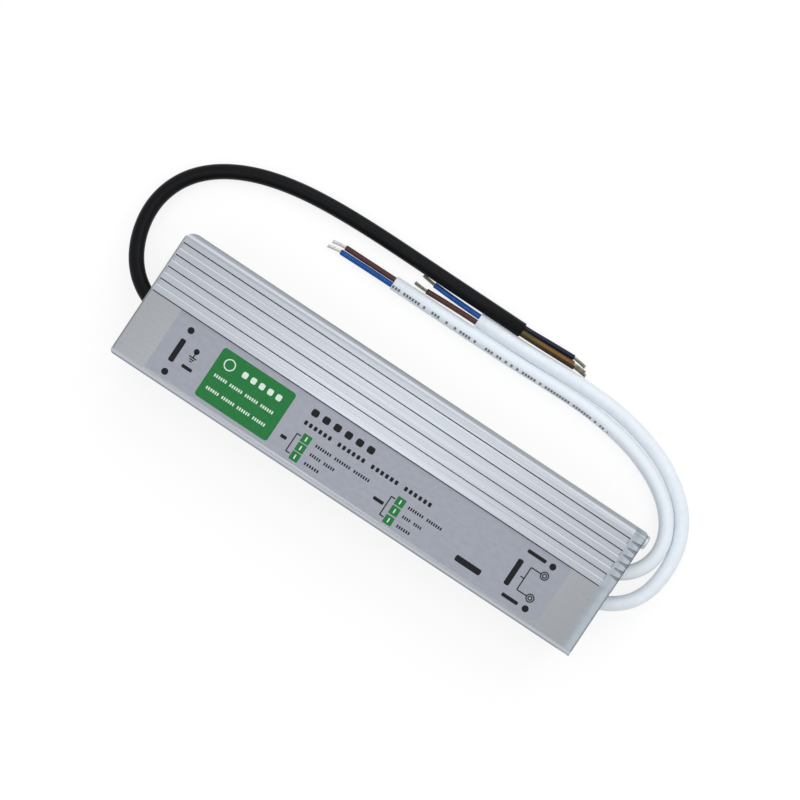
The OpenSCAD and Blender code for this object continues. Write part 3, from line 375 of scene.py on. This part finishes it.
def strands(name, cores, splays, reach=5.5, across=0.42):
    """The bare strands of a lead's cores, each core's six twisted round a seventh, splayed sideways in mm.
    They begin a few steps inside the core's end."""
    turns = 1.2
    outer = 6
    steps = 18
    sunk = 4
    made = []
    for core, splay in zip(cores, splays):
        start = core[-1]
        forward = (core[-1] - core[-2]).normalized()
        side = forward.cross(Vector((0, 0, 1))).normalized()
        top = side.cross(forward)
        for s in range(outer + 1):
            path = []
            for i in range(-sunk, steps + 1):
                t = i / steps
                centre = start + forward * reach * mm * t + Vector((0, splay * mm * max(t, 0) ** 1.5, 0))
                angle = 2 * math.pi * (s / outer + turns * t)
                out = 0.0 if s == outer else across * (0.95 + 0.25 * max(t, 0)) * mm
                path.append(centre + out * (math.cos(angle) * side + math.sin(angle) * top))
            made.append(tube(name, path, across, 8))
    bpy.ops.object.select_all(action="DESELECT")
    for piece in made:
        piece.select_set(True)
    bpy.context.view_layer.objects.active = made[0]
    bpy.ops.object.join()
    return made[0]


mains_d = 6.0
core_d = 2.2
mains_path = led_out(-1, -4.5, [
    (1, 0, 15), (4.8, 0.1, 15), (9.8, 1.1, 14.8), (15.2, 3.6, 14.1), (20.7, 7.8, 13), (25.7, 14.6, 11.3),
    (29.1, 23.2, 8.9), (30.3, 32.3, 7), (28.7, 41.3, 5.1), (24.6, 49.2, 4), (17.9, 56, 3.1),
    (9.5, 61.1, 3), (0, 64.9, 3), (-11.1, 67.6, 3), (-22.8, 69.2, 3), (-37, 70.1, 3),
    (-53, 70.4, 3), (-73, 70.3, 3), (-93, 70.3, 3), (-114.7, 70.3, 3),
])
mains_end = mains_path[-1] / mm
neutral_path = bared(mains_end, 1, [(0, 1.25, 2.3), (3, 1.25, 2.3), (12.5, 1.9, 1.2), (22.5, 2.3, 1.1)])
earth_path = bared(mains_end, 1, [(0, -0.75, 4.45), (3, -0.75, 4.45), (12.5, -0.35, 3.4), (23.5, 0.1, 3.25)])
live_path = bared(mains_end, 1, [(0, -1.25, 2.3), (3, -1.25, 2.3), (12.5, -1, 1.2), (24.5, -0.7, 1.1)])

# Black PVC: near black, with a satin skin and only a faint shine.
faint_shine = {"Specular IOR Level": 0.1}
black_pvc = grained(
    "extruded_black_pvc", ("#090a0c", "#0e0f12"), (2.5, 2.5, 2.5), 0.34, 0.015, **faint_shine
)
mains_lead = dress(tube("mains_lead", mains_path, mains_d), black_pvc, "jacket_black", "input_cable")

# Core PVC: thin coloured insulation with a soft, faint shine, so its colours stay deep.
soft_shine = {"Specular IOR Level": 0.2}
brown_pvc = grained("extruded_brown_pvc", ("#462c2d", "#533431"), (1.5, 1.5, 1.5), 0.4, 0.01, **soft_shine)
blue_pvc = grained("extruded_blue_pvc", ("#14468c", "#1c549f"), (1.5, 1.5, 1.5), 0.4, 0.01, **soft_shine)
navy_pvc = grained("extruded_navy_pvc", ("#14172c", "#1b1e37"), (1.5, 1.5, 1.5), 0.4, 0.01, **soft_shine)

# Earth core PVC: a stripe along dark olive green, yellow green at first and then ochre. The stripe lies
# along the top of the core and is both the core's own stripe and a painted highlight where light falls
# on the top. Its middle and edges are shares of the way round the core.
stripe_and_highlight_middle = 0.26
stripe_and_highlight_edge = {"From Min": 0.07, "From Max": 0.11}
ochre_from = {"From Min": 4 * mm, "From Max": 10 * mm}
earth_pvc = blank("striped_earth_pvc")
tree = earth_pvc.node_tree
laid = add(tree, "UVMap", {}, uv_map="lengthwise")
parts = add(tree, "SeparateXYZ", {"Vector": laid.outputs["UV"]})
off_middle = add(tree, "Math", {0: parts.outputs["Y"], 1: stripe_and_highlight_middle}, operation="SUBTRACT")
aside = add(tree, "Math", {0: off_middle.outputs[0]}, operation="ABSOLUTE")
beside = add(tree, "MapRange", {"Value": aside.outputs[0], **stripe_and_highlight_edge})
begun = add(tree, "MapRange", {"Value": parts.outputs["X"], **ochre_from})
stripe_and_highlight_shades = {mix_by: begun.outputs[0], mix_from: linear("#564f1e"), mix_to: linear("#7c5520")}
stripe_and_highlight = add(tree, "Mix", stripe_and_highlight_shades, data_type="RGBA").outputs[mix_out]
core_shades = {mix_by: beside.outputs[0], mix_from: stripe_and_highlight, mix_to: linear("#34341c")}
tint = add(tree, "Mix", core_shades, data_type="RGBA").outputs[mix_out]
shader = add(tree, "BsdfPrincipled", {"Base Color": tint, "Roughness": 0.4, **soft_shine})
add(tree, "OutputMaterial", {"Surface": shader.outputs[0]})

neutral_core = dress(
    tube("mains_neutral_core", neutral_path, core_d), navy_pvc, "core_blue", "input_neutral_core"
)
earth_core = dress(tube("mains_earth_core", earth_path, core_d), earth_pvc, "core_earth", "input_earth_core")
live_core = dress(tube("mains_live_core", live_path, core_d), brown_pvc, "core_brown", "input_live_core")

# Tinned copper strands: dull silver wire, darker where the strands shade each other.
dull_tin = grained("dull_tinned_copper", ("#6f6c60", "#a5a293"), (0.5, 0.5, 0.5), 0.35, 0.0, Metallic=1.0)
mains_strands = dress(
    strands("mains_strands", [neutral_path, earth_path, live_path], [-0.9, -0.6, -0.6]),
    dull_tin, "tinned_strand", "input_strand_tips",
)
coat(brown_pvc, "input_inner_leads")

# Output leads
# Two round two-core leads in white PVC. Both leave the output cap's recess, bend round the far corner
# and lie side by side in front of the mains lead, with bared cores and stripped strands.
output_d = 5.8
far_path = led_out(1, 6, [
    (1, 0, 15), (4.4, 0.2, 15), (8.4, 1.4, 14.8), (12.6, 3.8, 14.2), (16.4, 7.6, 13.3), (18.9, 12.6, 12),
    (19.8, 18.4, 10.2), (18.6, 24.5, 8.3), (15.1, 30.8, 6.4), (9.1, 36.6, 4.7), (1.1, 41.3, 3.5),
    (-9.3, 45.2, 3), (-21.1, 47.5, 2.9), (-33.8, 48.7, 2.9), (-47.8, 48.6, 2.9), (-69.8, 47.8, 2.9),
    (-95.8, 47.7, 2.9), (-121.8, 47.7, 2.9),
])
near_path = led_out(1, -6, [
    (1, 0, 15), (4.8, 0, 15), (9.9, 0.9, 14.8), (15.5, 3.6, 14.4), (20.9, 8.3, 13.5), (24.5, 15.1, 12.2),
    (25.9, 23.1, 10.4), (25.8, 31.7, 8.6), (23.8, 39.8, 6.8), (19.4, 47.4, 5.1), (12.5, 53.7, 3.9),
    (3.6, 59.3, 3.1), (-7.2, 63.2, 2.9), (-19.7, 65.9, 2.9), (-33.6, 66.9, 2.9), (-49.6, 66.5, 2.9),
    (-62, 65.9, 2.9), (-74, 65.8, 2.9), (-86.8, 65.8, 2.9),
])
far_end = far_path[-1] / mm
near_end = near_path[-1] / mm
far_positive = bared(far_end, -1, [(0, 1.15, 2.9), (3, 1.15, 2.9), (12, 1.15, 1.4), (23, 1.1, 1.1)])
far_negative = bared(far_end, -1, [(0, -1.15, 2.9), (3, -1.15, 2.9), (12, -1.15, 1.4), (23.7, -1.3, 1.1)])
near_negative = bared(near_end, -1, [(0, 1.25, 2.9), (3, 1.25, 2.9), (12, 1.5, 1.4), (21.5, 2, 1.1)])
near_positive = bared(near_end, -1, [(0, -1.25, 2.9), (3, -1.25, 2.9), (12, -1.3, 1.4), (22.7, -1.7, 1.1)])

# White PVC: a cool white with a satin skin.
white_pvc = grained("extruded_white_pvc", ("#e2eaf2", "#eaf1f8"), (3.0, 3.0, 3.0), 0.4, 0.015)

# Printed white PVC: the same jacket with a broken line of small dark dashes, 1.3 mm from one to the next.
# The line winds slowly round the jacket, as it does on a lead that was twisted a little when it was laid.
dash_pitch = 1.3 * mm
dash_share = 0.72
bare_share = 0.28
dash_half_h = 0.038
dash_ink = 0.85
first_dash = 85 * mm
wound = {"From Min": first_dash, "From Max": 186 * mm, "To Min": 0.4, "To Max": 0.34}
printed_pvc = blank("printed_white_pvc")
tree = printed_pvc.node_tree
laid = add(tree, "UVMap", {}, uv_map="lengthwise")
parts = add(tree, "SeparateXYZ", {"Vector": laid.outputs["UV"]})
along = add(tree, "Math", {0: parts.outputs["X"], 1: 1 / dash_pitch}, operation="MULTIPLY")
cell = add(tree, "Math", {0: along.outputs[0]}, operation="FLOOR")
chance = add(tree, "TexWhiteNoise", {"W": cell.outputs[0]}, noise_dimensions="1D")
kept = add(tree, "Math", {0: chance.outputs["Value"], 1: bare_share}, operation="GREATER_THAN")
spot = add(tree, "Math", {0: along.outputs[0]}, operation="FRACT")
gap = add(tree, "Math", {0: spot.outputs[0], 1: dash_share}, operation="LESS_THAN")
centre = add(tree, "MapRange", {"Value": parts.outputs["X"], **wound})
across = {0: parts.outputs["Y"], 1: centre.outputs[0], 2: dash_half_h}
band = add(tree, "Math", across, operation="COMPARE")
begun = add(tree, "Math", {0: parts.outputs["X"], 1: first_dash}, operation="GREATER_THAN")
mark = kept.outputs[0]
for step in (gap, band, begun):
    mark = add(tree, "Math", {0: mark, 1: step.outputs[0]}, operation="MULTIPLY").outputs[0]
inked = add(tree, "Math", {0: mark, 1: dash_ink}, operation="MULTIPLY")
jacket_shades = {mix_by: inked.outputs[0], mix_from: linear("#e6eef5"), mix_to: linear("#4a4d52")}
tint = add(tree, "Mix", jacket_shades, data_type="RGBA").outputs[mix_out]
shader = add(tree, "BsdfPrincipled", {"Base Color": tint, "Roughness": 0.4})
add(tree, "OutputMaterial", {"Surface": shader.outputs[0]})
far_lead = dress(tube("output_lead_far", far_path, output_d), printed_pvc, "jacket_white", "output_cable_far")
near_lead = dress(
    tube("output_lead_near", near_path, output_d), white_pvc, "jacket_white", "output_cable_near"
)
far_brown = dress(tube("far_brown_core", far_positive, core_d), brown_pvc, "core_brown", "far_positive_core")
far_blue = dress(tube("far_blue_core", far_negative, core_d), blue_pvc, "core_blue", "far_negative_core")
near_blue = dress(tube("near_blue_core", near_negative, core_d), blue_pvc, "core_blue", "near_negative_core")
near_brown = dress(
    tube("near_brown_core", near_positive, core_d), brown_pvc, "core_brown", "near_positive_core"
)

# Bright tin: freshly tinned strands, pale silver.
bright_tin = grained("bright_tinned_copper", ("#c9c6c2", "#e4e2de"), (0.5, 0.5, 0.5), 0.3, 0.0, Metallic=1.0)
far_strands = dress(
    strands("far_strands", [far_positive, far_negative], [-0.7, -0.7]), bright_tin, "tinned_strand",
    "far_strand_tips",
)
near_strands = dress(
    strands("near_strands", [near_negative, near_positive], [0.5, 0.5]), dull_tin, "tinned_strand",
    "near_strand_tips",
)
coat(blue_pvc, "output_inner_leads")

# Label film
# A grey polyester film stuck to the flat panel, screen printed in black, green and white. The print is
# plain bars, blocks, boxes, dots, rings and thin lines.

# Polyester film: satin grey-violet, with a very fine print mottle.
label_film = grained("satin_polyester_film", ("#9296a1", "#989ca7"), (3.0, 1.5, 1.5), 0.36, 0.002)
coat(label_film, "label_film")
film_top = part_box("label_film")[1].z
ink_t = 0.03
line_w = 0.45


def printed(name, bars=(), dots=(), rings=(), rounding=0.3, lift=0.0):
    """Flat shapes of one ink on the film: rounded bars as (x, y, length, height), dots and rings as
    (x, y, across), all in mm."""
    level = film_top + lift * mm
    disc = {"vertices": 40, "fill_type": "NGON"}
    piece = bpy.data.objects.new(name, bpy.data.meshes.new(name))
    bpy.context.collection.objects.link(piece)
    bpy.ops.object.select_all(action="DESELECT")
    piece.select_set(True)
    bpy.context.view_layer.objects.active = piece
    bpy.ops.object.mode_set(mode="EDIT")
    for x, y, length, height in bars:
        centre = (x * mm, y * mm, level)
        bpy.ops.mesh.primitive_plane_add(size=mm, location=centre)
        bpy.ops.transform.resize(value=(length, height, 1), center_override=centre)
        bpy.ops.mesh.bevel(offset=rounding * min(length, height) * mm, segments=4, affect="VERTICES")
    for x, y, across in dots:
        centre = (x * mm, y * mm, level)
        bpy.ops.mesh.primitive_circle_add(radius=across / 2 * mm, location=centre, **disc)
    for x, y, across in rings:
        centre = (x * mm, y * mm, level)
        bpy.ops.mesh.primitive_circle_add(radius=across / 2 * mm, location=centre, **disc)
        bpy.ops.mesh.inset(thickness=line_w * mm)
        bpy.ops.mesh.delete(type="FACE")
    bpy.ops.object.mode_set(mode="OBJECT")
    thick = piece.modifiers.new("ink", "SOLIDIFY")
    thick.thickness = ink_t * mm
    thick.offset = 1.0
    bpy.ops.object.modifier_apply(modifier=thick.name)
    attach(piece, "root")
    return piece


def block_row(x, y, lengths, height, gap, pitch=1.0):
    """A row of small even blocks from x on, in groups of the lengths given, with a gap between groups."""
    block_share = 0.6
    blocks = []
    for length in lengths:
        count = max(round(length / pitch), 1)
        step = length / count
        blocks += [(x + (i + 0.5) * step, y, block_share * step, height) for i in range(count)]
        x += length + gap
    return blocks


in_rows = [-13.8, -17.6, -21.4]
out_rows = [-13.9, -17.8, -21.8]
black_bars = block_row(-27.9, -3.9, [29.4], 2.8, 0, 5)
black_bars += block_row(-27.5, -8.7, [12.6] * 4, 1.7, 2.1, 2.1)
black_bars += block_row(-19, in_rows[0], [7.1] * 3, 1.2, 1.3)
black_bars += block_row(-19, in_rows[1], [4.8] * 2, 1.2, 1.3)
black_bars += block_row(-19, in_rows[2], [6.5], 1.2, 1.3)
black_bars += block_row(22, out_rows[0], [6.8] * 2, 1.2, 1.3)
black_bars += block_row(22, out_rows[1], [3.6] * 2, 1.2, 1.3)
black_bars += block_row(22, out_rows[2], [6.0], 1.2, 1.3)
black_bars += [(-30.5, in_rows[1], 2.6, 1.3), (11.5, out_rows[1], 4.4, 1.3)]
black_bars += [(-80.7, -12.7, 2.2, 9.6), (-74.1, -16.3, 4.4, 1.3)]
black_bars += [(67.5, -12.2, 2.2, 11), (71.5, -2.6, 8, 1.4), (71.7, -21.2, 7, 1.4), (52.1, -19.4, 11, 2.4)]
black_lines = [(-74.3, -10.7, line_w, 2.4)]
black_lines += [(-74.3, -11.9 - 0.8 * i, 3.2 - 1.1 * i, line_w) for i in range(3)]
for x, rows in ((-27, in_rows), (14.7, out_rows)):
    black_lines += [(x, rows[1], line_w, rows[0] - rows[2])]
    black_lines += [(x + 0.8, y, 1.9, line_w) for y in (rows[0], rows[2])]
black_lines += [(72, -12.05, line_w, 9.7), (71.2, -12.05, 1.6, line_w)]
black_lines += [(74.05, y, 4.1, line_w) for y in (-7.2, -16.9)]
black_print = printed(
    "black_print", bars=black_bars + black_lines,
    dots=[(-80.4, -3.9, 2.6), (-80.2, -21.7, 2.6), (78.5, -2.7, 2.6), (78.5, -21.1, 2.6), (-74.3, -9.3, 2.2)],
    rings=[(77.8, y, across) for y in (-7.2, -16.9) for across in (3.4, 1.9)],
)
green_boxes = [(-23, y, 3.6, 3.4) for y in in_rows] + [(18.6, y, 3.6, 3.4) for y in out_rows]
green_print = printed("green_print", bars=[(-50.8, -12.3, 31.9, 20.8)] + green_boxes, rounding=0.06)
white_bars = block_row(-56.5, -6.6, [18.5], 2.4, 0, 3.7)
white_bars += block_row(-64.5, -12.6, [5.7] * 4, 1.2, 1.1)
white_bars += block_row(-64.5, -18, [5.7] * 4, 1.2, 1.1)
white_bars += [(x, y, 0.5, 1.8) for x, y, _, _ in green_boxes]
white_print = printed("white_print", bars=white_bars, rings=[(-61.5, -6.6, 4.6)], lift=ink_t)

# Screen ink: opaque and slightly matt, laid in a thin even coat.
black_shine = {"Specular IOR Level": 0.15}
green_shine = {"Specular IOR Level": 0.2}
black_ink = grained("black_screen_ink", ("#121317", "#18191d"), (0.8, 0.8, 0.8), 0.5, 0.0, **black_shine)
green_ink = grained("green_screen_ink", ("#1c6c35", "#22743c"), (0.8, 0.8, 0.8), 0.48, 0.0, **green_shine)
black_print.data.materials.append(black_ink)
green_print.data.materials.append(green_ink)
white_ink = grained("white_screen_ink", ("#cfe0d4", "#d8e7dc"), (0.8, 0.8, 0.8), 0.5)
white_print.data.materials.append(white_ink)

# Floor, light and camera
# A pale sheet under the driver that shows as white and keeps its soft shadow, a wide panel and a lamp
# overhead, a lamp along the far side, and a camera that looks straight down. The panel stays out of
# reflections, because the white surround already shows there.
sheet_size = 6.0
sheet_drop = 0.3 * mm
sheet_glow = 1.06
glow_share = 0.75
surround_light = 0.45
surround_shown = 1.0
shown_rays = ("Is Camera Ray", "Is Glossy Ray", "Is Transmission Ray")


def shown(tree):
    """A factor that is 1 for rays that show the background, as seen or in a reflection."""
    rays = add(tree, "LightPath", {})
    factor = rays.outputs[shown_rays[0]]
    for name in shown_rays[1:]:
        factor = add(tree, "Math", {0: factor, 1: rays.outputs[name]}, operation="MAXIMUM").outputs[0]
    return factor


bpy.ops.object.select_all(action="DESELECT")
bpy.ops.mesh.primitive_plane_add(size=sheet_size, location=(0, 0, -sheet_drop))
floor = bpy.context.object
floor.name = "floor"
white_sheet = blank("white_sheet")
tree = white_sheet.node_tree
paper = add(tree, "BsdfDiffuse", {"Color": linear("#f4f4f6")})
glow = add(tree, "Emission", {"Color": linear("#ffffff"), "Strength": sheet_glow})
veil = add(tree, "Math", {0: shown(tree), 1: glow_share}, operation="MULTIPLY")
sheet = add(tree, "MixShader", {0: veil.outputs[0], 1: paper.outputs[0], 2: glow.outputs[0]})
add(tree, "OutputMaterial", {"Surface": sheet.outputs[0]})
floor.data.materials.append(white_sheet)

world = bpy.data.worlds.new("studio")
bpy.context.scene.world = world
world.use_nodes = True
tree = world.node_tree
tree.nodes.clear()
soft = add(tree, "Background", {"Color": linear("#ffffff"), "Strength": surround_light})
white = add(tree, "Background", {"Color": linear("#ffffff"), "Strength": surround_shown})
sky = add(tree, "MixShader", {0: shown(tree), 1: soft.outputs[0], 2: white.outputs[0]})
add(tree, "OutputWorld", {"Surface": sky.outputs[0]})


def softbox(name, place, size, power):
    """A rectangular lamp that faces the driver."""
    bpy.ops.object.light_add(type="AREA", location=place)
    lamp = bpy.context.object
    lamp.name = name
    lamp.rotation_euler = (-Vector(place)).to_track_quat("-Z", "Y").to_euler()
    lamp.data.shape = "RECTANGLE"
    lamp.data.size, lamp.data.size_y = size
    lamp.data.energy = power
    return lamp


ceiling = softbox("ceiling_panel", (0, 0.02, 1.7), (2.6, 2.6), 17)
ceiling.visible_glossy = False
softbox("overhead_lamp", (0.03, 0.06, 1.3), (0.26, 1.0), 1.5)
softbox("far_side_lamp", (0.05, 0.95, 0.85), (1.2, 0.75), 3.4)

bpy.ops.object.camera_add(
    location=(-2.305 * mm, 17.37 * mm, 730.7 * mm), rotation=(0, 0, math.radians(33.6))
)
camera = bpy.context.object
camera.data.lens = 85
camera.data.sensor_width = 36
bpy.context.scene.camera = camera
bpy.context.scene.view_settings.view_transform = "Standard"
